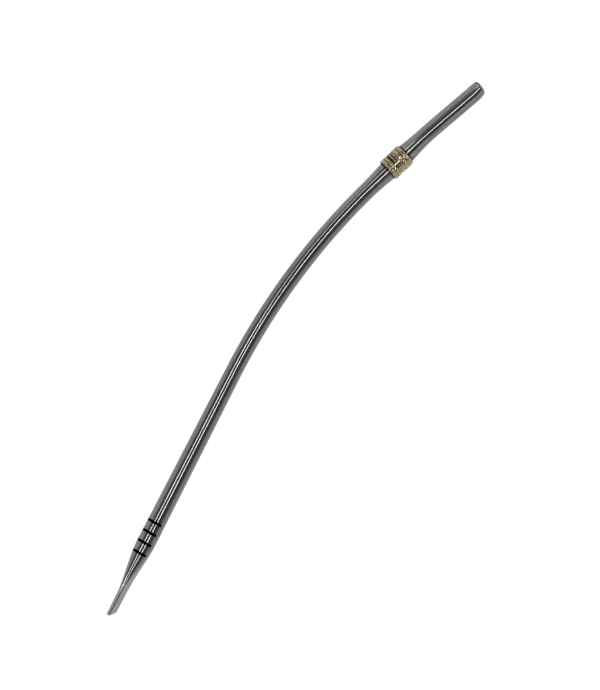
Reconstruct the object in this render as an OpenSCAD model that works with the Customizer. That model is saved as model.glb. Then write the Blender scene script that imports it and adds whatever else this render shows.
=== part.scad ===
// Bombilla: a bent steel drinking straw for mate, with a pressed bill, saw-cut strainer and brass ring

/* [Stem] */
// Outer diameter of the stem along its bend
stem_d = 6; // [5:0.1:8]
// Wall of the stem and the mouthpiece
wall = 0.5; // [0.4:0.05:0.7]
// Straight length from the tip of the bill to the start of the bend
foot_len = 95; // [70:1:120]
// Radius of the bend, on the axis
bend_r = 244; // [200:1:350]
// Angle of the bend
bend_a = 19.8; // [12:0.1:26]

/* [Bill] */
// Outer diameter where the pressing starts, the widest place of the foot
foot_d = 6.65; // [6:0.05:8]
// Distance from the tip to where the pressing starts
press_end = 28; // [22:0.5:34]
// Length of the flat land at the tip
bill_land = 7.5; // [4:0.5:12]
// Thickness of the bill at its tip
tip_t = 1.2; // [1.15:0.05:1.6]
// Thickness of the bill at the root of the land
land_t = 1.45; // [1.3:0.05:2.4]
// How far the flat land lies off the stem's axis, towards the inside of the bend
bill_set = 0.4; // [0:0.01:1]
// Distance from the tip to where the pressed foot is back on the axis
set_end = 23; // [12:0.5:26]

/* [Strainer] */
// Number of saw cuts
slot_n = 4; // [2:1:6]
// Distance from the tip to the first cut
slot_first = 24; // [20:0.5:30]
// Distance from one cut to the next
slot_pitch = 3.95; // [2.5:0.05:6]
// Width of a cut
slot_w = 1; // [0.5:0.05:1.2]
// Depth of a cut below the widest place of the foot
slot_depth = 1.6; // [0.9:0.05:2]
// How far round the stem the cuts lie from the flank, towards the outside of the bend
slot_turn = 11; // [-20:1:20]
// Lean of a cut, its floor nearer the tip
slot_lean = 8; // [0:1:15]

/* [Mouthpiece] */
// Outer diameter of the mouthpiece
mouth_d = 5.9; // [5:0.05:8]
// Radius of the slight bend above the ring, on the axis
heel_r = 150; // [80:1:250]
// Angle of the slight bend above the ring
heel_a = 3.1; // [1:0.1:6]
// Straight length from that bend to the lip
mouth_len = 21.3; // [15:0.1:60]
// Radius of the rounded lip
lip_r = 0.9; // [0.6:0.05:1.2]

/* [Joint] */
// Outer diameter of the inner spigot that both tubes are pushed over
spigot_d = 6; // [5.4:0.02:8]
// Wall of the spigot
spigot_wall = 0.35; // [0.25:0.05:0.5]
// Space left at each end of the spigot
spigot_end_gap = 0.2; // [0.1:0.05:0.5]
// Length of the bell on each tube, from its own diameter to the spigot's
bell_len = 6; // [3:0.1:9]
// Film of solder between pieces that fit together
film = 0.03; // [0.02:0.005:0.05]

/* [Ring] */
// Wall of the sleeve that carries the bands
sleeve_wall = 0.4; // [0.25:0.05:0.6]
// How far the sleeve shows past the bands at each end
sleeve_end = 0.15; // [0.1:0.05:0.5]
// Height of the wide bands above the sleeve
band_h = 0.27; // [0.2:0.01:0.8]
// Height of the two thin bands above the sleeve
wire_h = 0.24; // [0.18:0.01:0.8]
// How far the edges of a wide band lie below its crown
band_crown = 0.1; // [0.05:0.01:0.15]
// How far the edges of a thin band lie below its crown
wire_crown = 0.1; // [0.05:0.01:0.12]
// Width of the band at the stem end
lower_rim_w = 1.25; // [0.8:0.05:2]
// Width of the band next to it
lower_band_w = 1.05; // [0.7:0.05:2]
// Width of each thin band
wire_w = 0.45; // [0.35:0.05:0.8]
// Width of the wide band towards the mouth
upper_band_w = 1.55; // [0.8:0.05:2]
// Width of the band at the mouth end
upper_rim_w = 1.4; // [0.8:0.05:2]
// Narrow groove between two bands
seam = 0.2; // [0.15:0.01:0.5]
// Groove between the two thin bands
wire_gap = 0.5; // [0.2:0.05:0.8]
// Wide groove below the thin bands
cove = 0.95; // [0.5:0.05:1.5]

/* [Hidden] */
round_fn = 96;
bend_fn = 720;
$fn = round_fn;
steel = [0.62, 0.62, 0.61];
brass = [0.66, 0.6, 0.42];

// Bands along the ring from the stem end: width, then the groove that follows
band_widths = [lower_rim_w, lower_band_w, wire_w, wire_w, upper_band_w, upper_rim_w];
band_gaps = [seam, cove, wire_gap, seam, seam, 0];
function sum(list, count) = count == 0 ? 0 : list[count - 1] + sum(list, count - 1);
function band_start(i) = sleeve_end + sum(band_widths, i) + sum(band_gaps, i);
ring_len = band_start(len(band_widths)) + sleeve_end;

// Fits of the joint, from the spigot outwards
bell_bore_d = spigot_d + 2 * film;
bell_d = bell_bore_d + 2 * wall;
sleeve_bore_d = bell_d + 2 * film;
sleeve_d = sleeve_bore_d + 2 * sleeve_wall;
band_bore_d = sleeve_d + 2 * film;
ring_d = band_bore_d + 2 * band_h;

// Runs of one tube lap: the end of one tapers into the wall of the other, so that they are one solid
lap = 0.4;
lap_h = 0.02;

// The rounded lip meets the outside of the mouthpiece at a faint edge, this far inside its circle
lip_edge = 0.01;

// The joint's axis is straight: bell, half the ring on each tube, bell
butt_x = bell_len + ring_len / 2;
joint_len = 2 * butt_x;
spigot_len = ring_len - 2 * spigot_end_gap;

// Pressed foot: the middle of the wall keeps its length all round, so the flat grows as the tube thins
bill_sides = 56;
bill_steps = 16;
bill_join = press_end + slot_pitch / 2;
function mix(a, b, t) = a + (b - a) * t;
function ease(t) = t * t * (3 - 2 * t);
function foot_r(u) = mix(foot_d, stem_d, (u - press_end) / (foot_len - press_end)) / 2;
function half_t(u) =
    u < bill_land ? mix(tip_t, land_t, u / bill_land) / 2 :
    u < press_end ? mix(land_t, foot_d, ease((u - bill_land) / (press_end - bill_land))) / 2 :
    foot_r(u);
function off_axis(u) =
    u < bill_land ? bill_set :
    u < set_end ? bill_set * (1 - ease((u - bill_land) / (set_end - bill_land))) :
    0;
function flat_len(u) = u < press_end ? PI * (foot_d / 2 - half_t(u)) : 0;
function join_h(u) = u <= press_end ? 0 : u <= bill_join + lap ? lap_h : -lap_h;
bill_w = flat_len(0) + tip_t;

// The straw lies on the tip of its bill, the crest of the ring's lower rim and its belly
mouth_a = bend_a + heel_a;
function turned(p, a) = [p[0] * cos(a) - p[1] * sin(a), p[0] * sin(a) + p[1] * cos(a)];
bend_end = [foot_len + bend_r * sin(bend_a), -bend_r * (1 - cos(bend_a))];
rim_at = bend_end + turned([bell_len + sleeve_end + lower_rim_w / 2, 0], -bend_a);
heel_step = [heel_r * sin(heel_a), -heel_r * (1 - cos(heel_a))];
lip_at = bend_end + turned([joint_len, 0] + heel_step, -bend_a) + turned([mouth_len, 0], -mouth_a);
chord_a = atan2(-rim_at[1], rim_at[0]);
chord = norm(rim_at);
belly_centre = turned([foot_len, -bend_r], chord_a);
belly_y = belly_centre[1] + bend_r;
belly_h = mix(bill_w, ring_d, belly_centre[0] / chord) / 2;
lie_roll = asin((belly_h - stem_d / 2) / belly_y);
lie_pitch = asin((bill_w - ring_d) / 2 / chord);

// Centre of the straw's outline, seen from above
lip_out = turned(lip_at, chord_a);
low_x = (bill_set - tip_t / 2) * sin(chord_a);
high_x = lip_out[0] + mouth_d / 2 * sin(mouth_a - chord_a);
low_y = (lip_out[1] - mouth_d / 2 * cos(mouth_a - chord_a)) * cos(lie_roll);
high_y = belly_y * cos(lie_roll) + stem_d / 2;

// Places the straw on the surface, with the middle of its outline over the origin
module lie() {
    translate([-(low_x + high_x) / 2, -(low_y + high_y) / 2, bill_w / 2])
        rotate([-lie_roll, lie_pitch, 0])
            rotate(chord_a)
                children();
}

// Carries children round a bend that starts at the origin along +X
module past_bend(r, a) {
    translate([0, -r, 0])
        rotate(-a)
            translate([0, r, 0])
                children();
}

// Start of the joint's straight axis, at the end of the stem's bend
module at_joint() {
    translate([foot_len, 0, 0])
        past_bend(bend_r, bend_a)
            children();
}

// Start of the mouthpiece's straight length
module at_mouth() {
    at_joint()
        translate([joint_len, 0, 0])
            past_bend(heel_r, heel_a)
                children();
}

// Turns a profile of radius and length about the X axis, its facets half a step on from those of a bend
module turn_x() {
    rotate([0, 90, 0])
        rotate(180 / round_fn)
            rotate_extrude()
                children();
}

// A bent run of tube that starts at the origin along +X
module bent_tube(r, a, d) {
    translate([0, -r, 0])
        rotate_extrude(angle = a, start = 90 - a, $fn = bend_fn)
            translate([r, 0])
                difference() {
                    circle(d = d, $fn = round_fn);
                    circle(d = d - 2 * wall, $fn = round_fn);
                }
}

// Stations of a straight run: a place along X, then the outer and the inner diameter there
function tube_at(x, d) = [x, d, d - 2 * wall];
function lap_at(x, d, h) = [x, d + 2 * h, d - 2 * wall - 2 * h];
function lap_back(x, d) = [lap_at(x - 2 * lap, d, -lap_h), lap_at(x - lap, d, lap_h), tube_at(x + lap, d)];
function lap_on(x, d) = [tube_at(x - lap, d), lap_at(x + lap, d, lap_h), lap_at(x + 2 * lap, d, -lap_h)];

// Profile of a straight run of tube through its stations: radius, then length
module tube_profile(stations) {
    last = len(stations) - 1;
    polygon(concat(
        [for (s = stations) [s[1] / 2, s[0]]],
        [for (i = [last : -1 : 0]) [stations[i][2] / 2, stations[i][0]]]
    ));
}

// One ring of points round the pressed foot, off from the middle of the wall
function bill_ring(u, off) = [
    for (i = [0 : bill_sides - 1])
        let (a = (i + 0.5) * 360 / bill_sides)
        let (r = half_t(u) - wall / 2 + off)
        [u, r * cos(a) - off_axis(u), r * sin(a) + sign(sin(a)) * flat_len(u) / 2]
];

// Closed band of faces between two rings of points
function bill_band(first, second) = [
    for (i = [0 : bill_sides - 1])
        let (j = (i + 1) % bill_sides)
        [first + i, second + i, second + j, first + j]
];

// The pressed foot as a lofted tube, lapped a little into the round stem
module bill() {
    land = [for (i = [0 : 2]) bill_land * i / 3];
    press = [for (i = [0 : bill_steps]) mix(bill_land, press_end, i / bill_steps)];
    stations = concat(land, press, [bill_join + lap, bill_join + 2 * lap]);
    last = len(stations) - 1;
    outer = [for (u = stations) each bill_ring(u, wall / 2 + join_h(u))];
    inner = [for (u = stations) each bill_ring(u, -wall / 2 - join_h(u))];
    inside = len(outer);
    outer_faces = [for (k = [0 : last - 1]) each bill_band(k * bill_sides, (k + 1) * bill_sides)];
    inner_faces = [
        for (k = [0 : last - 1])
            each bill_band(inside + (k + 1) * bill_sides, inside + k * bill_sides)
    ];
    tip_face = bill_band(inside, 0);
    join_face = bill_band(last * bill_sides, inside + last * bill_sides);
    polyhedron(concat(outer, inner), concat(outer_faces, inner_faces, tip_face, join_face));
}

// Saw cuts across the upper flank of the foot
module slots() {
    for (i = [0 : slot_n - 1])
        translate([slot_first + i * slot_pitch, 0, 0])
            rotate([-slot_turn, 0, 0])
                translate([0, 0, foot_d / 2])
                    rotate([0, slot_lean, 0])
                        translate([-slot_w / 2, -bill_w / 2, -slot_depth])
                            cube([slot_w, bill_w, bill_w]);
}

// The round length of the stem, up to the butt inside the ring
module round_stem() {
    turn_x()
        tube_profile(concat([tube_at(bill_join, 2 * foot_r(bill_join))], lap_on(foot_len, stem_d)));
    translate([foot_len, 0, 0])
        bent_tube(bend_r, bend_a, stem_d);
    at_joint()
        turn_x()
            tube_profile(concat(lap_back(0, stem_d), [tube_at(bell_len, bell_d), tube_at(butt_x, bell_d)]));
}

module stem_tube() {
    color(steel)
        lie()
            difference() {
                union() {
                    round_stem();
                    bill();
                }
                slots();
            }
}

// What is cut from the end of the mouthpiece to round its lip
module lip_waste() {
    translate([mouth_d / 2 + lip_edge - lip_r, mouth_len - lip_r])
        difference() {
            square(2 * lip_r);
            circle(lip_r);
        }
}

module mouthpiece_tube() {
    bell = [tube_at(butt_x, bell_d), tube_at(joint_len - bell_len, bell_d)];
    color(steel)
        lie() {
            at_joint() {
                turn_x()
                    tube_profile(concat(bell, lap_on(joint_len, mouth_d)));
                translate([joint_len, 0, 0])
                    bent_tube(heel_r, heel_a, mouth_d);
            }
            at_mouth()
                turn_x()
                    difference() {
                        tube_profile(concat(lap_back(0, mouth_d), [tube_at(mouth_len, mouth_d)]));
                        lip_waste();
                    }
        }
}

// A plain round sleeve on the joint's axis, from its place to its length
module sleeve(x, length, bore_d, thick) {
    turn_x()
        translate([bore_d / 2, x])
            square([thick, length]);
}

module joint_spigot() {
    color(steel)
        lie()
            at_joint()
                sleeve(butt_x - spigot_len / 2, spigot_len, spigot_d - 2 * spigot_wall, spigot_wall);
}

module ring_sleeve() {
    color(brass)
        lie()
            at_joint()
                sleeve(bell_len, ring_len, sleeve_bore_d, sleeve_wall);
}

// One band of the ring: a strip bent round the sleeve, with a crowned face
module band(i, high, crown) {
    width = band_widths[i];
    crown_r = (width * width / 4 + crown * crown) / (2 * crown);
    color(brass)
        lie()
            at_joint()
                turn_x()
                    translate([band_bore_d / 2, bell_len + band_start(i)])
                        intersection() {
                            square([high, width]);
                            translate([high - crown_r, width / 2])
                                circle(crown_r);
                        }
}

module lower_rim() {
    band(0, band_h, band_crown);
}

module lower_band() {
    band(1, band_h, band_crown);
}

module lower_wire() {
    band(2, wire_h, wire_crown);
}

module upper_wire() {
    band(3, wire_h, wire_crown);
}

module upper_band() {
    band(4, band_h, band_crown);
}

module upper_rim() {
    band(5, band_h, band_crown);
}

stem_tube();
mouthpiece_tube();
joint_spigot();
ring_sleeve();
lower_rim();
lower_band();
lower_wire();
upper_wire();
upper_band();
upper_rim();
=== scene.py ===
import math
import bpy
import numpy as np
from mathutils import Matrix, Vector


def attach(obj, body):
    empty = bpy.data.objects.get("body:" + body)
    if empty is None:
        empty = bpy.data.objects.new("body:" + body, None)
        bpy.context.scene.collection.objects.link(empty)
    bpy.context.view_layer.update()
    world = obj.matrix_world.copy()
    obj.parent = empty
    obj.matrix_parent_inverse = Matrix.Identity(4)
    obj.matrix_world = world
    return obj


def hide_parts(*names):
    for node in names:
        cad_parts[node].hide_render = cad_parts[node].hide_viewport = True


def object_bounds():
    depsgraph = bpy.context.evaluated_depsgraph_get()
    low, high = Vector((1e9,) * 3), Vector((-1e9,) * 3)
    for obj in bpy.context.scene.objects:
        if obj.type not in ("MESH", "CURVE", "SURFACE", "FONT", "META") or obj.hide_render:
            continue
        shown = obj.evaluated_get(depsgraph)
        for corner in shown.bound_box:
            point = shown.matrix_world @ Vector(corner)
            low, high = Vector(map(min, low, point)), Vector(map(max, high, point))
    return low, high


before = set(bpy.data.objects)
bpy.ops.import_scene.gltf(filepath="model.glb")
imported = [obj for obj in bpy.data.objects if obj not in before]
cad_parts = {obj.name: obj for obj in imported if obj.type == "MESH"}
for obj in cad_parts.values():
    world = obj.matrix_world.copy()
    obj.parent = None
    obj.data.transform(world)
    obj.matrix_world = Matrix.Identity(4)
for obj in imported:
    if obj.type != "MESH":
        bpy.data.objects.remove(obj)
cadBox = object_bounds()  # the solids' box, in metres
scene = bpy.context.scene
metresPerMm = 0.001  # the straw's own sizes are in mm
print("frame loaded, nodes:", len(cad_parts))

# The straw's axis: a straight foot, a bend, the straight joint under the ring, a slight heel, a straight end
strawPath = {  # mm and degrees
    "foot": 95.0,
    "bendRadius": 244.0,
    "bend": 19.8,
    "joint": 20.5,
    "heelRadius": 150.0,
    "heel": 3.1,
    "mouth": 21.3,
}
strawLie = {  # how the straw lies on the floor: degrees, then mm
    "chord": 5.191452,
    "roll": 8.923547,
    "pitch": 0.192373,
    "shift": (-113.514988, 1.173351, 4.88042),
}

bendArc = math.radians(strawPath["bend"])
heelArc = math.radians(strawPath["heel"])
jointStart = strawPath["foot"] + strawPath["bendRadius"] * bendArc
heelStart = jointStart + strawPath["joint"]
mouthStart = heelStart + strawPath["heelRadius"] * heelArc
lipEnd = mouthStart + strawPath["mouth"]


def turnAbout(axis, degrees):  # rotation matrix about x, y or z
    c, s = math.cos(math.radians(degrees)), math.sin(math.radians(degrees))
    return np.array({
        "x": [[1, 0, 0], [0, c, -s], [0, s, c]],
        "y": [[c, 0, s], [0, 1, 0], [-s, 0, c]],
        "z": [[c, -s, 0], [s, c, 0], [0, 0, 1]],
    }[axis])


lieTurn = turnAbout("y", strawLie["pitch"]) @ turnAbout("x", -strawLie["roll"])
lieTurn = lieTurn @ turnAbout("z", strawLie["chord"])


def axisAt(along):  # each run of the axis adds its own step in the bend's plane: x, y and the heading there
    bendR, heelR = strawPath["bendRadius"], strawPath["heelRadius"]
    bent = np.clip((along - strawPath["foot"]) / bendR, 0, bendArc)
    joint = np.clip(along - jointStart, 0, strawPath["joint"])
    heel = np.clip((along - heelStart) / heelR, 0, heelArc)
    mouth = np.maximum(along - mouthStart, 0)
    x = np.minimum(along, strawPath["foot"]) + bendR * np.sin(bent) + joint * math.cos(bendArc)
    x = x + heelR * (np.sin(bendArc + heel) - math.sin(bendArc)) + mouth * math.cos(bendArc + heelArc)
    y = bendR * (np.cos(bent) - 1) - joint * math.sin(bendArc)
    y = y + heelR * (np.cos(bendArc + heel) - math.cos(bendArc)) - mouth * math.sin(bendArc + heelArc)
    return x, y, -(bent + heel)


def onStraw(along, across, up):  # mm along the axis, across it in the bend's plane and up, to the CAD frame
    x, y, heading = axisAt(along)
    local = np.stack([x - across * np.sin(heading), y + across * np.cos(heading), up + 0 * x], -1)
    return (local @ lieTurn.T + np.array(strawLie["shift"])) * metresPerMm


def ease(t):  # smooth step, 3t^2 - 2t^3
    t = np.clip(t, 0, 1)
    return t * t * (3 - 2 * t)


def easeOver(value, span):  # smooth step from 0 at the span's start to 1 at its end
    return ease((value - span[0]) / (span[1] - span[0]))


def turnsOf(cols):  # one row of turns, evenly spaced round the axis
    return 2 * math.pi * np.arange(cols)[None, :] / cols


def turnedRing(s, radius, turn):  # a profile of places and radii carried round the straw's axis
    return onStraw(s[:, None] + 0 * turn, radius * np.cos(turn), radius * np.sin(turn))


def ringQuads(rows, cols):  # quads between neighbouring closed rings of points; the last ring meets the first
    j, k = np.arange(rows)[:, None], np.arange(cols)[None, :]
    j2, k2 = (j + 1) % rows, (k + 1) % cols
    return np.stack([j * cols + k, j * cols + k2, j2 * cols + k2, j2 * cols + k], -1)


def profileReach(s, radius):  # length along a closed profile
    step = np.hypot(np.diff(s, append=s[0]), np.diff(radius, append=radius[0]))
    return np.concatenate([[0], np.cumsum(step)])


def girthReach(diameter, cols):  # length round a ring
    return math.pi * diameter * np.arange(cols + 1) / cols


def ringMap(rowAt, colAt):  # map corners of those quads: length along the profile, then length round the ring
    a, b = np.broadcast_arrays(rowAt[:-1, None], colAt[None, :-1])
    a2, b2 = np.broadcast_arrays(rowAt[1:, None], colAt[None, 1:])
    return np.stack([np.stack(corner, -1) for corner in ((a, b), (a, b2), (a2, b2), (a2, b))], -2)


sharpAngle = 38.0  # degrees; faces that meet more sharply keep their edge


# A mesh of points and quads with its map, its finishes and the marks they read, in the place of a CAD node
def makePiece(name, node, points, quads, corners, finishes, finishOf, marks):
    mesh = bpy.data.meshes.new(name)
    mesh.from_pydata(points.reshape(-1, 3).tolist(), [], quads.reshape(-1, 4).tolist())
    for finish in finishes:
        mesh.materials.append(finish)
    mesh.polygons.foreach_set("material_index", np.asarray(finishOf).ravel().astype(np.int32))
    mesh.uv_layers.new(name="tubeMap").uv.foreach_set("vector", corners.ravel().astype(np.float32))
    for mark, values in marks.items():
        layer = mesh.attributes.new(mark, "FLOAT", "POINT")
        layer.data.foreach_set("value", values.ravel().astype(np.float32))
    mesh.shade_smooth()
    mesh.set_sharp_from_angle(angle=math.radians(sharpAngle))
    piece = bpy.data.objects.new(name, mesh)
    scene.collection.objects.link(piece)
    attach(piece, "root")
    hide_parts(node)
    print("made", name, "with", len(mesh.polygons), "faces")


# Finishes: linear tones, depths in m; a span is the stretch of a noise or a mark over which a finish changes
steelLook = {
    "tone": (0.6, 0.6, 0.594),
    "dull": (0.53, 0.53, 0.532),
    "flecked": (0.44, 0.44, 0.44),
    "edge": 0.84,
    # painted shade: this dark tone darkens the steel at the ring's ends and along the bill's crease, and at
    # the lip's rim
    "shadeAndGrime": (0.03, 0.025, 0.022),
    "groundTone": (0.8, 0.8, 0.79),
    "ground": 0.36,
    "rough": (0.08, 0.14),
    "scratches": {"scale": 1.0, "stretch": (0.12, 9.0, 1.0), "detail": 4.0},
    "patches": {"scale": 0.35, "stretch": (0.5, 1.6, 1.0), "detail": 3.0},
    "grain": {"scale": 1.0, "stretch": (0.8, 1.6, 1.0), "detail": 2.0},
    "roughSpan": (0.3, 0.75),
    "dullSpan": (0.35, 0.75),
    "grainSpan": (0.3, 0.7),
    "cleanSpan": (0.25, 1.0),
    "patchShadeAndGrime": 0.3,
    "scratchStrength": 0.004,
    "scratchDepth": 0.00002,
}
# painted shade: the bore's near-black tone stands for the shade inside the tubes and the cuts
boreLook = {
    "tone": (0.03, 0.0275, 0.025),
    "stain": (0.0125, 0.01, 0.0075),
    "rough": 0.6,
    "stains": {"scale": 420.0, "stretch": (1.0, 1.0, 1.0), "detail": 3.0},
    "stainSpan": (0.35, 0.65),
}
spigotLook = {
    "rough": (0.3, 0.5),
    "grain": {"scale": 900.0, "stretch": (0.1, 1.0, 1.0), "detail": 3.0},
    "grainSpan": (0.3, 0.7),
}
brassLook = {
    "tone": (0.89, 0.77, 0.51),
    "olive": (0.68, 0.595, 0.345),
    # this dark tone is both patina in the grooves and painted shade away from the lit side
    "patinaAndShade": (0.105, 0.07, 0.045),
    "rough": (0.5, 0.075),
    "film": {"scale": 700.0, "stretch": (1.0, 1.0, 1.0), "detail": 4.0},
    "grit": {"scale": 2600.0, "stretch": (1.0, 1.0, 1.0), "detail": 3.0},
    "filmSpan": (0.4, 0.7),
    "cleanSpan": (0.3, 0.65),
    "gritGrime": 0.3,
    "gritStrength": 0.04,
    "gritDepth": 0.00004,
}


def newFinish(name):  # a material, its nodes and its shader
    finish = bpy.data.materials.new(name)
    finish.use_nodes = True
    tree = finish.node_tree
    return finish, tree, tree.nodes["Principled BSDF"]


def tubeSpot(tree):  # place on a tube's own map, in mm
    node = tree.nodes.new("ShaderNodeUVMap")
    node.uv_map = "tubeMap"
    return node.outputs["UV"]


def solidSpot(tree):  # place in the part's frame, in metres
    return tree.nodes.new("ShaderNodeTexCoord").outputs["Object"]


def noiseOn(tree, spot, look):  # noise of a scale and a detail, with its map stretched along each axis
    mapping = tree.nodes.new("ShaderNodeMapping")
    mapping.inputs["Scale"].default_value = look["stretch"]
    noise = tree.nodes.new("ShaderNodeTexNoise")
    noise.inputs["Scale"].default_value = look["scale"]
    noise.inputs["Detail"].default_value = look["detail"]
    tree.links.new(spot, mapping.inputs["Vector"])
    tree.links.new(mapping.outputs["Vector"], noise.inputs["Vector"])
    return noise.outputs["Fac"]


def rangeOf(tree, value, span, levels=(0.0, 1.0)):  # smooth step over the span, from level to level
    node = tree.nodes.new("ShaderNodeMapRange")
    node.interpolation_type = "SMOOTHSTEP"
    for socket, number in zip(("From Min", "From Max", "To Min", "To Max"), (*span, *levels)):
        node.inputs[socket].default_value = number
    tree.links.new(value, node.inputs["Value"])
    return node.outputs["Result"]


def mixOf(tree, factor, first, second):  # the first colour where the factor is 0, the second where it is 1
    node = tree.nodes.new("ShaderNodeMix")
    node.data_type = "RGBA"
    tree.links.new(factor, node.inputs["Factor"])
    for socket, colour in ((node.inputs[6], first), (node.inputs[7], second)):  # its two colour sockets
        if isinstance(colour, tuple):
            socket.default_value = (*colour, 1)
        else:
            tree.links.new(colour, socket)
    return node.outputs[2]  # its colour


def sumOf(tree, first, factor, second):  # first times factor, plus second
    node = tree.nodes.new("ShaderNodeMath")
    node.operation = "MULTIPLY_ADD"
    tree.links.new(first, node.inputs[0])
    node.inputs[1].default_value = factor
    tree.links.new(second, node.inputs[2])
    return node.outputs[0]


def bumpFrom(tree, height, strength, depth):  # a normal that follows a height
    node = tree.nodes.new("ShaderNodeBump")
    node.inputs["Strength"].default_value = strength
    node.inputs["Distance"].default_value = depth
    tree.links.new(height, node.inputs["Height"])
    return node.outputs["Normal"]


def markOf(tree, mark):  # a mark that the piece's points carry
    node = tree.nodes.new("ShaderNodeAttribute")
    node.attribute_name = mark
    return node.outputs["Fac"]


def steelFinish():  # polished tube: lengthwise scratches, dull patches and grain; darkened where the mark read below is low: painted shade at the ring's ends and along the bill's crease, and a darker rim at the lip
    finish, tree, skin = newFinish("polishedSteel")
    spot = tubeSpot(tree)
    scratch = noiseOn(tree, spot, steelLook["scratches"])
    patch = noiseOn(tree, spot, steelLook["patches"])
    grain = noiseOn(tree, spot, steelLook["grain"])
    ground = markOf(tree, "ground")
    # the mark and the dull patches choose where the steel takes the dark tone: painted shade at the ring's
    # ends and along the crease
    worn = sumOf(tree, patch, steelLook["patchShadeAndGrime"], markOf(tree, "cleanAndLit"))
    clean = rangeOf(tree, worn, steelLook["cleanSpan"])
    steel = mixOf(tree, rangeOf(tree, patch, steelLook["dullSpan"]), steelLook["tone"], steelLook["dull"])
    steel = mixOf(tree, rangeOf(tree, grain, steelLook["grainSpan"]), steelLook["flecked"], steel)
    steel = mixOf(tree, ground, steel, steelLook["groundTone"])
    rough = rangeOf(tree, scratch, steelLook["roughSpan"], steelLook["rough"])
    bump = bumpFrom(tree, scratch, steelLook["scratchStrength"], steelLook["scratchDepth"])
    skin.inputs["Metallic"].default_value = 1.0
    skin.inputs["Specular Tint"].default_value = (steelLook["edge"],) * 3 + (1,)
    tree.links.new(mixOf(tree, clean, steelLook["shadeAndGrime"], steel), skin.inputs["Base Color"])
    tree.links.new(sumOf(tree, ground, steelLook["ground"], rough), skin.inputs["Roughness"])
    tree.links.new(bump, skin.inputs["Normal"])
    return finish


def boreFinish():  # inside of the tubes and the saw cuts: painted near-black shade, dull, with darker stains
    finish, tree, skin = newFinish("boreShadeAndStain")
    stain = rangeOf(tree, noiseOn(tree, solidSpot(tree), boreLook["stains"]), boreLook["stainSpan"])
    skin.inputs["Metallic"].default_value = 1.0
    skin.inputs["Roughness"].default_value = boreLook["rough"]
    tree.links.new(mixOf(tree, stain, boreLook["tone"], boreLook["stain"]), skin.inputs["Base Color"])
    return finish


def spigotFinish():  # the hidden inner tube: plain drawn steel
    finish, tree, skin = newFinish("drawnSteel")
    grain = noiseOn(tree, solidSpot(tree), spigotLook["grain"])
    skin.inputs["Metallic"].default_value = 1.0
    skin.inputs["Base Color"].default_value = (*steelLook["dull"], 1)
    rough = rangeOf(tree, grain, spigotLook["grainSpan"], spigotLook["rough"])
    tree.links.new(rough, skin.inputs["Roughness"])
    return finish


def brassFinish():  # worn brass: bright crests, olive film; dark where the mark read below is low: patina in the grooves and at the bands' edges, and painted shade away from the lit side
    finish, tree, skin = newFinish("wornBrass")
    spot = solidSpot(tree)
    film = rangeOf(tree, noiseOn(tree, spot, brassLook["film"]), brassLook["filmSpan"])
    grit = noiseOn(tree, spot, brassLook["grit"])
    worn = sumOf(tree, grit, brassLook["gritGrime"], markOf(tree, "cleanAndLit"))
    clean = rangeOf(tree, worn, brassLook["cleanSpan"])
    brass = mixOf(tree, film, brassLook["tone"], brassLook["olive"])
    rough = rangeOf(tree, clean, (0.0, 1.0), brassLook["rough"])
    bump = bumpFrom(tree, grit, brassLook["gritStrength"], brassLook["gritDepth"])
    skin.inputs["Metallic"].default_value = 1.0
    tree.links.new(mixOf(tree, clean, brassLook["patinaAndShade"], brass), skin.inputs["Base Color"])
    tree.links.new(rough, skin.inputs["Roughness"])
    tree.links.new(bump, skin.inputs["Normal"])
    return finish


polishedSteel, boreShadeAndStain, drawnSteel, wornBrass = steelFinish(), boreFinish(), spigotFinish(), brassFinish()
print("finishes ready")

# Where the ring sits, which the tubes beside it need to know
ring = {  # mm and degrees
    "start": 6.0,
    "length": 8.5,
    "boreDiameter": 7.12,
    "sleeveDiameter": 7.92,
    "sleeveEdge": 0.06,
    "bandBore": 7.98,
    # painted shade: how far the dark line reaches along the tubes from the ring's ends
    "shadeReach": 0.9,
    # the turn of the side where the strands are rubbed flatter and the brass is painted lighter
    "litRubbedTurn": 165.0,
    "columns": 300,
}
ringStart = jointStart + ring["start"]
ringEnd = ringStart + ring["length"]


def besideRing(s):  # 1 on clean steel, 0 in the painted shade at the ends of the ring and under it
    return ease(np.maximum(ringStart - s, s - ringEnd) / ring["shadeReach"])


# Stem: the pressed bill, the saw cuts, the bend and the belled end
stem = {  # lengths in mm; the diameter is a hair under the solid's, so that the skin stays inside its box
    "diameter": 5.976,
    "wall": 0.5,
    "footDiameter": 6.65,
    "pressEnd": 28.0,
    "land": 7.5,
    "tipThick": 1.2,
    "landThick": 1.45,
    "offAxis": 0.4,
    "offAxisEnd": 23.0,
    "tipEdge": 0.12,
    "foldSquare": 1.6,  # added to a circle's power of 2
    "foldSlant": 0.1,  # mm for each unit of foldSquare
    "foldSpan": (8.0, 17.0),
    "groundSpan": (8.0, 14.0),
    "groundEdge": 0.1,
    "bellReach": 9.5,
    "bellDiameter": 7.06,
    "bellStart": 0.35,  # its slope at first, as a part of its mean slope
    "buttAt": 10.25,
    "columns": 160,
    "crowding": 0.36,  # radians
    "rows": {"tip": 5, "press": 120, "between": 6, "foot": 24, "bend": 76, "joint": 34},
    "rowGaps": {"press": 0.4, "foot": 0.9, "joint": 0.3},
}
crease = {  # place and width are parts of half the bill's thickness, core is a part of the width; the crease is a dark line of painted shade beside the fold
    "place": -0.62,
    "width": 0.3,
    "core": 0.3,
    "shadeAndGrime": 0.95,
}
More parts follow.
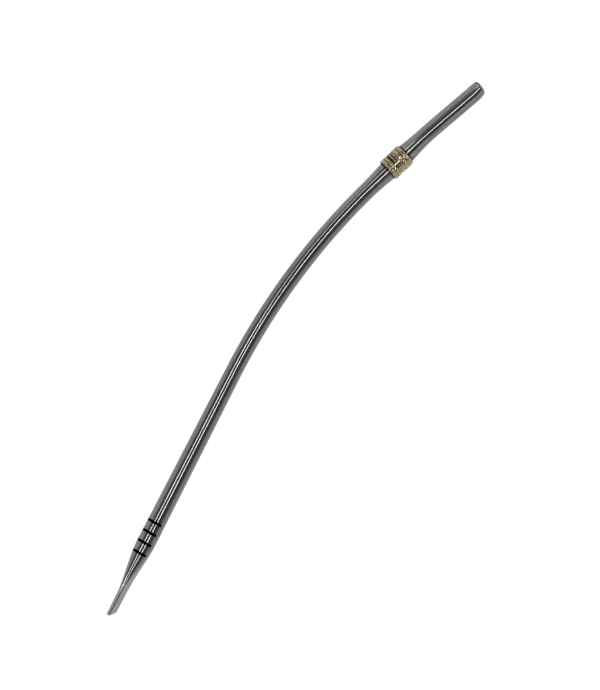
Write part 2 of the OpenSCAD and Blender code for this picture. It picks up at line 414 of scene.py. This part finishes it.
strainer = {  # lengths in mm, turn and lean in degrees
    "cuts": 4,
    "first": 24.0,
    "pitch": 3.95,
    "width": 1.0,
    "depth": 1.85,
    "turn": 12.0,
    "lean": 8.0,
    "margin": 5.0,
    "fade": 4.0,
    "clear": 0.14,
    "leastTurn": 0.05,  # radians
    "ragged": 0.035,
    "lowMarks": ((1.1, 2.1), (0.37, 1.0)),  # waves in radians, for each column and each mm along the stem
    "highMarks": ((0.9, 3.7), (0.43, -1.0)),
    "columns": (9, 61),  # the two that are kept to the ends of a cut
}
cutMid = strainer["first"] + strainer["pitch"] * np.arange(strainer["cuts"])
cutLow = cutMid - strainer["width"] / 2
cutHigh = cutMid + strainer["width"] / 2
cutFacing = math.radians(90 - strainer["turn"])
cutFloor = stem["footDiameter"] / 2 - strainer["depth"] * math.cos(math.radians(strainer["lean"]))


def bellOf(t):  # a bell opens slowly, then faster: a straight slope plus a square
    t = np.clip(t, 0, 1)
    return stem["bellStart"] * t + (1 - stem["bellStart"]) * t * t


def stemHalf(s):  # half the thickness: a flat land, an eased press, a slow taper, the bend, a bell
    land = stem["tipThick"] + (stem["landThick"] - stem["tipThick"]) * s / stem["land"]
    press = easeOver(s, (stem["land"], stem["pressEnd"]))
    press = stem["landThick"] + (stem["footDiameter"] - stem["landThick"]) * press
    taper = np.clip((s - stem["pressEnd"]) / (strawPath["foot"] - stem["pressEnd"]), 0, 1)
    taper = stem["footDiameter"] + (stem["diameter"] - stem["footDiameter"]) * taper
    bell = (stem["bellDiameter"] - stem["diameter"]) * bellOf((s - ringStart) / stem["bellReach"] + 1)
    return np.where(s < stem["land"], land, np.where(s < stem["pressEnd"], press, taper + bell)) / 2


def stemFlat(s):  # half the flat: the middle of the wall keeps its length, so it grows as the tube is pressed
    return np.where(s < stem["pressEnd"], math.pi * (stem["footDiameter"] / 2 - stemHalf(s)) / 2, 0)


def nearStrainer(s):  # 1 along the saw cuts, fading to 0 beyond them
    margin, fade = strainer["margin"], strainer["fade"]
    return ease((s - cutMid[0] + margin) / fade) * ease((cutMid[-1] + margin - s) / fade)


def nearTip(s):  # 1 on the flat bill, fading to 0 where the tube swells
    return 1 - easeOver(s, stem["foldSpan"])


def stemSection(s, turn, offset, square):  # stadium of half flat f, radius m; the turn shares out 4f + 2 pi m
    flat, mid = stemFlat(s), stemHalf(s) - stem["wall"] / 2
    girth = turn / (2 * math.pi) * (4 * flat + 2 * math.pi * mid)
    back = flat + math.pi * mid
    lean = np.clip((girth - flat) / mid, 0, math.pi) + np.clip((girth - back - 2 * flat) / mid, 0, math.pi)
    rise = np.clip(girth, 0, flat) - np.clip(girth - back, 0, 2 * flat)
    rise = rise + np.clip(girth - 2 * back - flat, 0, flat)
    power = 2 / (2 + square * nearTip(s))  # the folds of the bill are squared off
    c, d = np.cos(lean), np.sin(lean)
    across = (mid + offset) * np.sign(c) * np.abs(c) ** power
    slant = stem["foldSlant"] * square * nearTip(s) * np.clip(d, 0, 1) * (1 + c) / 2
    return across, rise + (mid + offset) * np.sign(d) * np.abs(d) ** power - slant


def offAxis(s):  # the bill is pressed a little to the inside of the bend
    return stem["offAxis"] * (1 - easeOver(s, (stem["land"], stem["offAxisEnd"])))


def cutTurns(s, offset):  # the two turns at which a skin meets the floor of the saw cuts
    flat, mid = stemFlat(s), stemHalf(s) - stem["wall"] / 2
    half = np.arccos(np.clip((cutFloor - flat * math.sin(cutFacing)) / (mid + offset), -1, 1))
    lean = np.stack([cutFacing - half, cutFacing + half])
    lean = np.clip(lean, strainer["leastTurn"], math.pi - strainer["leastTurn"])
    return 2 * math.pi * (flat + mid * lean) / (4 * flat + 2 * math.pi * mid)


def columnTurns(s, offset):  # columns crowd on the folds of the bill and keep to the ends of the cuts
    whole = 2 * math.pi
    base = turnsOf(stem["columns"])
    base = base + stem["crowding"] * nearTip(s) * np.sin(2 * base)
    first, last = (whole * column / stem["columns"] for column in strainer["columns"])
    start, end = cutTurns(s, offset)
    start, end = first + nearStrainer(s) * (start - first), last + nearStrainer(s) * (end - last)
    before = base * start / first
    within = start + (base - first) * (end - start) / (last - first)
    after = end + (base - last) * (whole - end) / (whole - last)
    return np.where(base < first, before, np.where(base < last, within, after))


def stemSkin(s, shake, half, side):  # side is 1 outside, -1 inside; lean and saw marks move its rows along
    offset = side * half
    square = stem["foldSquare"] if side > 0 else 0.0  # the inner skin keeps its round folds
    turn = columnTurns(s, side * stem["wall"] / 2)
    across, up = stemSection(s, turn, offset, square)
    depth = stem["footDiameter"] / 2 - across * math.cos(cutFacing) - up * math.sin(cutFacing)
    along = s + shake - math.tan(math.radians(strainer["lean"])) * nearStrainer(s) * depth
    across, up = stemSection(along, turn, offset, square)
    return onStraw(along, across - offAxis(along), up), across, up


def stemRows():  # places of the rings of points: close together at the tip, the press and the saw cuts
    count, gap, clear = stem["rows"], stem["rowGaps"], strainer["clear"]
    tip = stem["tipEdge"] * (1 - np.cos(np.linspace(0, math.pi / 2, count["tip"])))
    rib = np.linspace(clear, strainer["pitch"] - strainer["width"] - clear, count["between"])
    between = (cutHigh[:, None] + rib[None, :]).ravel()
    s = np.concatenate([
        tip,
        np.linspace(gap["press"], cutLow[0] - clear, count["press"]),
        cutLow, cutMid, cutHigh, between,
        np.linspace(between.max() + gap["foot"], strawPath["foot"], count["foot"]),
        np.linspace(strawPath["foot"], jointStart, count["bend"])[1:],
        jointStart + np.linspace(gap["joint"], stem["buttAt"], count["joint"]),
    ])
    return np.unique(np.round(s, 6))[:, None]  # rows that fall together become one


def sawMarks(waves, k):  # each cut's edges wander along its columns by a sum of sines
    return strainer["ragged"] * sum(np.sin(each * k + start * cutMid[:, None]) for each, start in waves)


def cutWalls(rows, cols, lowRow, highRow):  # which faces stay when the cuts are opened, and the cuts' walls
    keep = np.ones((2 * rows, cols), bool)
    first, last = strainer["columns"]
    walls = []
    for low, high in zip(lowRow, highRow):  # open the cut in both skins, then close its four walls
        keep[low:high, first:last] = False
        keep[2 * rows - 1 - high:2 * rows - 1 - low, first:last] = False
        over, along = np.arange(first, last), np.arange(low, high)
        for a, b in (((low, over), (low, over + 1)), ((high, over + 1), (high, over)),
                     ((along + 1, first), (along, first)), ((along, last), (along + 1, last))):
            ends = [j * cols + c for j, c in (a, b)] + [(2 * rows - 1 - j) * cols + c for j, c in (b, a)]
            walls.append(np.stack(np.broadcast_arrays(*ends), -1))
    return keep, np.concatenate(walls)


def buildStem():  # an outer and an inner skin that meet at the tip and at the butt, opened at the saw cuts
    s = stemRows()
    rows, cols = len(s), stem["columns"]
    gone = np.maximum(stem["tipEdge"] - s, 0)
    rounded = np.sqrt(stem["tipEdge"] ** 2 - gone ** 2)
    rounded = stem["wall"] / 2 - stem["tipEdge"] + rounded  # the tip's edges are broken
    slack = 1e-4
    lowRow, highRow = np.searchsorted(s[:, 0], cutLow - slack), np.searchsorted(s[:, 0], cutHigh - slack)
    shake = np.zeros((rows, cols))
    shake[lowRow] = sawMarks(strainer["lowMarks"], np.arange(cols))
    shake[highRow] = sawMarks(strainer["highMarks"], np.arange(cols))
    outer, across, up = stemSkin(s, shake, rounded, 1)
    inner = stemSkin(s, shake, rounded, -1)[0]
    points = np.concatenate([outer, inner[::-1]])

    quads = ringQuads(2 * rows, cols)
    back = 2 * s[-1, 0] + 1 - s[::-1, 0]  # the inner skin's map runs on from the outer's, 1 mm apart
    reach = np.concatenate([s[:, 0], back, [2 * s[-1, 0] + 2]])
    corners = ringMap(reach, girthReach(stem["diameter"], cols))
    finishOf = np.zeros((2 * rows, cols))
    finishOf[rows:-1] = 1  # the inner skin
    keep, walls = cutWalls(rows, cols, lowRow, highRow)
    wallMap = np.zeros((len(walls), 4, 2)) + stem["wall"] * np.array([[0, 0], [1, 0], [1, 1], [0, 1]])
    quads = np.concatenate([quads[keep], walls])
    corners = np.concatenate([corners[keep], wallMap])
    finishOf = np.concatenate([finishOf[keep], np.ones(len(walls))])

    fold = ease((np.abs(up) - stemFlat(s)) / stem["groundEdge"]) * (1 - easeOver(s, stem["groundSpan"]))
    side = (across / stemHalf(s) - crease["place"]) / crease["width"]
    shadeAndGrime = crease["shadeAndGrime"] * fold * (1 - ease(np.abs(side) - crease["core"]))  # painted shade along the rim of the fold
    # painted shade at the ring's ends and along the crease lowers the mark
    cleanAndLit = np.minimum(besideRing(s) + 0 * across, 1 - shadeAndGrime)
    cleanAndLit = np.concatenate([cleanAndLit, np.ones((rows, cols))])
    ground = np.concatenate([fold, np.zeros((rows, cols))])
    makePiece("stemTube", "stem_tube", points, quads, corners,
              [polishedSteel, boreShadeAndStain], finishOf, {"cleanAndLit": cleanAndLit, "ground": ground})


buildStem()

# Mouthpiece: the belled foot under the ring, the slight heel and the rounded lip, worn in on one side
mouthpiece = {  # mm and degrees; the worn power is how narrow the worn side is
    "diameter": 5.9,
    "wall": 0.5,
    "bellLength": 6.0,
    "lipRadius": 0.9,
    "wornReach": 4.2,
    "wornDrop": 0.75,
    "wornSide": 172.0,
    "wornPower": 4,
    "rimReach": 0.9,
    "rimFade": 0.5,
    "rimSpan": (0.15, -0.35),  # of the cosine of the turn from the worn side
    "rimDarkening": 0.9,
    "mapStart": 300.0,
    "columns": 120,
    "rows": {"bell": 8, "flare": 30, "heel": 12, "end": 34, "lip": 14},
}


def mouthRadius(s):  # the bell comes down to the mouthpiece's own size near the heel
    bell = bellOf((ringEnd - s) / stem["bellReach"] + 1)
    return (mouthpiece["diameter"] + (stem["bellDiameter"] - mouthpiece["diameter"]) * bell) / 2


def buildMouthpiece():  # a closed profile, out along the tube, round the lip and back, carried round the axis
    lipR, wall, cols = mouthpiece["lipRadius"], mouthpiece["wall"], mouthpiece["columns"]
    count = mouthpiece["rows"]
    bell = np.linspace(stem["buttAt"], strawPath["joint"] - mouthpiece["bellLength"], count["bell"])
    body = np.concatenate([
        jointStart + bell,
        np.linspace(ringEnd, heelStart, count["flare"])[1:],
        np.linspace(heelStart, mouthStart, count["heel"])[1:],
        np.linspace(mouthStart, lipEnd - lipR, count["end"])[1:],
    ])
    lean = np.linspace(0, math.acos(1 - wall / lipR), count["lip"])[1:]
    lipS = lipEnd - lipR + lipR * np.sin(lean)
    lipRadius = mouthpiece["diameter"] / 2 - lipR + lipR * np.cos(lean)
    s = np.concatenate([body, lipS, body[::-1]])
    radius = np.concatenate([mouthRadius(body), lipRadius, mouthRadius(body[::-1]) - wall])

    turn = turnsOf(cols)
    facing = np.cos(turn - math.radians(mouthpiece["wornSide"]))
    side = (0.5 + 0.5 * facing) ** mouthpiece["wornPower"]
    worn = np.clip((s - lipEnd + mouthpiece["wornReach"]) / mouthpiece["wornReach"], 0, 1)[:, None] ** 2
    points = turnedRing(s, radius[:, None] - mouthpiece["wornDrop"] * worn * side, turn)

    quads = ringQuads(len(s), cols)
    reach = mouthpiece["mapStart"] + profileReach(s, radius)
    corners = ringMap(reach, girthReach(mouthpiece["diameter"], cols))
    finishOf = np.zeros(quads.shape[:2])
    finishOf[len(body) + len(lean) - 1:] = 1  # the inside
    # the steel is darker at the lip's rim on the side away from the worn side
    rim = ease((s - lipEnd + mouthpiece["rimReach"]) / mouthpiece["rimFade"])[:, None]
    rim = rim * easeOver(facing, mouthpiece["rimSpan"])  # on the side that isn't worn
    # painted shade at the ring's end, and darker at the lip's rim on the side away from the worn side
    cleanAndLit = besideRing(s)[:, None] * (1 - mouthpiece["rimDarkening"] * rim)
    makePiece("mouthpieceTube", "mouthpiece_tube", points, quads, corners,
              [polishedSteel, boreShadeAndStain], finishOf, {"cleanAndLit": cleanAndLit})


buildMouthpiece()
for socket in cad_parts["joint_spigot"].material_slots:  # hidden inside the ring
    socket.material = drawnSteel

# Ring: a sleeve over the joint and six worked bands on it
wideBand = {"height": 0.27, "crown": 0.1, "strands": 14, "twist": 1.6, "cut": 0.2, "shoulder": 0}
wireBand = {"height": 0.24, "crown": 0.1, "strands": 14, "twist": 0.8, "cut": 0.05, "shoulder": 0}
bands = {  # mm from the ring's start; strands go round, twist is their lean, cut the depth between them
    "lowerRim": {**wideBand, "node": "lower_rim", "at": 0.15, "width": 1.25, "shoulder": -1},
    "lowerBand": {**wideBand, "node": "lower_band", "at": 1.6, "width": 1.05},
    "lowerWire": {**wireBand, "node": "lower_wire", "at": 3.6, "width": 0.45},
    "upperWire": {**wireBand, "node": "upper_wire", "at": 4.55, "width": 0.45, "strands": 15},
    "upperBand": {**wideBand, "node": "upper_band", "at": 5.2, "width": 1.55},
    "upperRim": {**wideBand, "node": "upper_rim", "at": 6.95, "width": 1.4, "shoulder": 1},
}
bandWork = {  # a wave is its count round the ring and its start, in wander after its size
    "rows": 21,
    "shoulderDrop": 0.15,
    "wander": ((0.5, 3, 2.3), (0.4, 5, -1.7), (0.3, 11, 4.1)),
    "depth": (0.75, 0.25),
    "depthWaves": ((4, 5.3), (7, 1.0)),
    "flattened": 0.6,
}
ringWearAndLight = {  # how clean the brass is, with painted light and shade by side; a span is of the cosine of the turn from the lit, rubbed side
    "sleeve": (0.05, 0.42),
    "sleeveSpan": (0.1, 0.5),
    "groove": 0.8,
    "groovePower": 3,
    "edge": 0.9,
    "edgePower": 6,
    # how much painted highlight the top and the lit side get
    "paintedSheen": 0.32,
    "topSpan": (-0.3, 0.4),
    "topEndSpan": (0.62, 0.76),
    "flatSpan": (0.66, 0.94),
    "sideSpan": (0.86, 0.97),
}


def litRubbedSide(turn, span):  # 0 away from the side where the strands are rubbed flatter and the brass is painted lighter, 1 on it
    return easeOver(np.cos(turn - math.radians(ring["litRubbedTurn"])), span)


def paintedSheenSide(turn):  # painted highlight along the top and on the lit, rubbed side, painted shade between the two
    top = litRubbedSide(turn, ringWearAndLight["topSpan"]) - litRubbedSide(turn, ringWearAndLight["topEndSpan"])
    return top + litRubbedSide(turn, ringWearAndLight["sideSpan"])


def makeRingPiece(name, node, s, radius, turn, cleanAndLit):  # a closed profile in brass, carried round the axis
    rows, cols = len(s), turn.size
    corners = ringMap(profileReach(s, radius.mean(1)), girthReach(ring["sleeveDiameter"], cols))
    makePiece(name, node, turnedRing(s, radius, turn), ringQuads(rows, cols), corners,
              [wornBrass], np.zeros(rows * cols), {"cleanAndLit": cleanAndLit})


def buildSleeve():  # a plain tube with broken outer edges
    edge, length = ring["sleeveEdge"], ring["length"]
    outer, inner = ring["sleeveDiameter"] / 2, ring["boreDiameter"] / 2
    s = ringStart + np.array([0, edge, length - edge, length, length, 0])
    radius = np.array([outer - edge, outer, outer, outer - edge, inner, inner])[:, None]
    turn = turnsOf(ring["columns"] // 2)
    # patina in the grooves, with painted light: lighter towards the lit side
    least, more = ringWearAndLight["sleeve"]
    cleanAndLit = least + more * litRubbedSide(turn, ringWearAndLight["sleeveSpan"]) + 0 * s[:, None]
    makeRingPiece("ringSleeve", "ring_sleeve", s, radius, turn, cleanAndLit)


def buildBand(name, band):  # a crowned strip, less slanting strands: the absolute of a cosine round the ring
    half, base, cols = band["width"] / 2, ring["bandBore"] / 2, ring["columns"]
    crownR = (half ** 2 + band["crown"] ** 2) / (2 * band["crown"])
    across = -half * np.cos(np.linspace(0, math.pi, bandWork["rows"]))
    top = band["height"] - crownR + np.sqrt(crownR ** 2 - across ** 2)
    shoulder = np.clip(band["shoulder"] * across / half, 0, 1) ** 2  # the outer edge of a rim is rubbed down
    top = top - bandWork["shoulderDrop"] * shoulder

    turn, seed, over = turnsOf(cols), band["at"], across[:, None]
    wander = sum(size * np.sin(each * turn + start * seed) for size, each, start in bandWork["wander"])
    strand = np.abs(np.cos((band["strands"] * turn + 2 * band["twist"] * over + wander) / 2))
    first, second = (np.sin(each * turn + start * seed) for each, start in bandWork["depthWaves"])
    mean, swing = bandWork["depth"]
    depth = mean + swing * first * second
    window = np.cos(over / half * math.pi / 2) ** 0.5  # the strands run out at the band's edges
    flattened = bandWork["flattened"] * litRubbedSide(turn, ringWearAndLight["flatSpan"])
    drop = band["cut"] * window * depth * (1 - strand) * (1 - flattened)
    s = np.concatenate([across, [half, -half]]) + half + ringStart + band["at"]
    radius = np.concatenate([base + top[:, None] - drop, np.full((2, cols), base)])

    # patina in the strands' valleys, taken off on the lit side as painted light
    groove = (1 - strand) ** ringWearAndLight["groovePower"] * window * (1 - litRubbedSide(turn, ringWearAndLight["sideSpan"]))
    groove = 1 - ringWearAndLight["groove"] * groove
    edge = 1 - ringWearAndLight["edge"] * np.abs(over / half) ** ringWearAndLight["edgePower"]
    # painted highlight along the top and the lit side, painted shade between, on top of the patina
    crest = edge * (groove + (1 - groove) * ringWearAndLight["paintedSheen"] * paintedSheenSide(turn))
    cleanAndLit = np.concatenate([crest, np.zeros((2, cols))])
    makeRingPiece(name, band["node"], s, radius, turn, cleanAndLit)


buildSleeve()
for name, band in bands.items():
    buildBand(name, band)

# Studio: a pale floor, and the long strips overhead and the dim room that the metal mirrors
floorLook = {"tone": 0.6, "glow": 0.88, "rough": 0.9, "reach": 12.0}  # reach in m
room = {  # levels of light, and spans of a unit direction along X, Y or Z
    "ceiling": 0.066,
    "horizon": (0.285, 0.345),
    "horizonSpan": (-0.6, 0.6),
    "lowSpan": (0.34, 0.6),
    "below": (0.365, 0.48),
    "belowSpan": (-0.35, -0.75),
    "floorSpan": (-0.02, 0.02),
    "zenithLift": -0.02,
    "zenithSpan": (0.72, 0.9),
    "mouthLift": 0.07,
    "mouthDrop": 0.1,
    "mouthSpan": (0.12, 0.26),
    "sideLift": 0.08,
    "sideSpan": (-0.05, -0.4),
}
strips = {  # lean from overhead towards +Y, degrees; start and end along X, m; width in degrees; radiance
    "stripFar": {"lean": 23.6, "start": -0.5, "end": 0.03, "width": 5.0, "radiance": 3.28},
    "stripFarEnd": {"lean": 32.0, "start": 0.03, "end": 0.32, "width": 5.0, "radiance": 1.76},
    "stripFarBeyond": {"lean": 32.0, "start": 0.52, "end": 0.66, "width": 6.0, "radiance": 2.4},
    "stripNear": {"lean": -10.4, "start": -0.5, "end": 0.5, "width": 5.0, "radiance": 3.36},
}
stripRack = {"height": 1.0, "turn": 3.8}  # m, degrees
mouthCard = {  # places and size in m
    "place": (0.104, -0.131, 0.071),
    "aim": (0.104, -0.009, 0.006),
    "size": (0.066, 0.07),
    "radiance": 0.2,
}
viewpoint = {  # mm and degrees
    "place": (1.981, -5.113, 503.8),
    "turn": -57.8311,
    "lens": 73.88,
    "sensor": 36.0,
    "near": 10.0,
}


def buildFloor():  # a wide square under the straw
    size, drop = floorLook["reach"], cadBox[0][2]
    corners = [(-size, -size, drop), (size, -size, drop), (size, size, drop), (-size, size, drop)]
    mesh = bpy.data.meshes.new("floor")
    mesh.from_pydata(corners, [], [(0, 1, 2, 3)])
    finish, _, skin = newFinish("paleFloor")
    skin.inputs["Base Color"].default_value = (floorLook["tone"],) * 3 + (1,)
    skin.inputs["Roughness"].default_value = floorLook["rough"]
    skin.inputs["Specular IOR Level"].default_value = 0.0
    skin.inputs["Emission Color"].default_value = (1, 1, 1, 1)
    skin.inputs["Emission Strength"].default_value = floorLook["glow"]
    mesh.materials.append(finish)
    floor = bpy.data.objects.new("floor", mesh)
    scene.collection.objects.link(floor)
    floor.visible_glossy = False  # the metal mirrors the room's own lower half instead


def addLamp(name, width, depth, radiance):  # a rectangular lamp; energy is radiance times pi times area
    lamp = bpy.data.lights.new(name, "AREA")
    lamp.shape = "RECTANGLE"
    lamp.size, lamp.size_y = width, depth
    lamp.energy = radiance * math.pi * lamp.size * lamp.size_y
    light = bpy.data.objects.new(name, lamp)
    scene.collection.objects.link(light)
    return light


def buildStrip(name, strip):  # a long lamp that faces the straw, as wide as its angle there
    height, turn, lean = stripRack["height"], math.radians(stripRack["turn"]), math.radians(strip["lean"])
    reach = height / math.cos(lean)
    middle = (strip["start"] + strip["end"]) / 2
    width = 2 * reach * math.tan(math.radians(strip["width"]) / 2)
    light = addLamp(name, strip["end"] - strip["start"], width, strip["radiance"])
    light.location = (middle, reach * math.sin(lean) + middle * math.tan(turn), height)
    light.rotation_euler = (-lean, 0, turn)


def buildCard():  # a dim lamp beside the mouth end, turned to face it
    light = addLamp("mouthCard", *mouthCard["size"], mouthCard["radiance"])
    light.location = mouthCard["place"]
    x, y, z = (a - b for a, b in zip(mouthCard["aim"], mouthCard["place"]))
    light.rotation_euler = (math.acos(-z / math.sqrt(x * x + y * y + z * z)), 0, math.atan2(-x, y))


def buildWorld():  # dim overhead, brighter at and below the horizon, lighter towards both ends of the straw
    world = bpy.data.worlds.new("studio")
    world.use_nodes = True
    tree = world.node_tree
    place = tree.nodes.new("ShaderNodeTexCoord")
    split = tree.nodes.new("ShaderNodeSeparateXYZ")
    tree.links.new(place.outputs["Generated"], split.inputs["Vector"])
    x, y, z = (split.outputs[axis] for axis in ("X", "Y", "Z"))
    mouth = rangeOf(tree, x, room["mouthSpan"])
    low = rangeOf(tree, sumOf(tree, mouth, -room["mouthDrop"], z), room["lowSpan"], (1.0, 0.0))
    horizon = rangeOf(tree, y, room["horizonSpan"], room["horizon"])
    below = rangeOf(tree, z, room["belowSpan"], room["below"])
    level = mixOf(tree, low, (room["ceiling"],) * 3, horizon)
    level = mixOf(tree, rangeOf(tree, z, room["floorSpan"], (1.0, 0.0)), level, below)
    zenith = rangeOf(tree, z, room["zenithSpan"], (0.0, room["zenithLift"]))
    side = rangeOf(tree, x, room["sideSpan"], (0.0, room["sideLift"]))
    lift = sumOf(tree, sumOf(tree, mouth, room["mouthLift"], zenith), 1.0, side)
    tree.links.new(sumOf(tree, lift, 1.0, level), tree.nodes["Background"].inputs["Color"])
    scene.world = world


def buildCamera():  # straight above the straw, turned as the photo is
    lens = bpy.data.cameras.new("photoView")
    lens.sensor_width = viewpoint["sensor"]
    lens.lens = viewpoint["lens"]
    lens.clip_start = viewpoint["near"] * metresPerMm
    view = bpy.data.objects.new("photoView", lens)
    view.location = [v * metresPerMm for v in viewpoint["place"]]
    view.rotation_euler = (0, 0, math.radians(viewpoint["turn"]))
    scene.collection.objects.link(view)
    scene.camera = view


buildFloor()
for name, strip in strips.items():
    buildStrip(name, strip)
buildCard()
buildWorld()
buildCamera()
scene.view_settings.view_transform = "Standard"
print("studio ready")
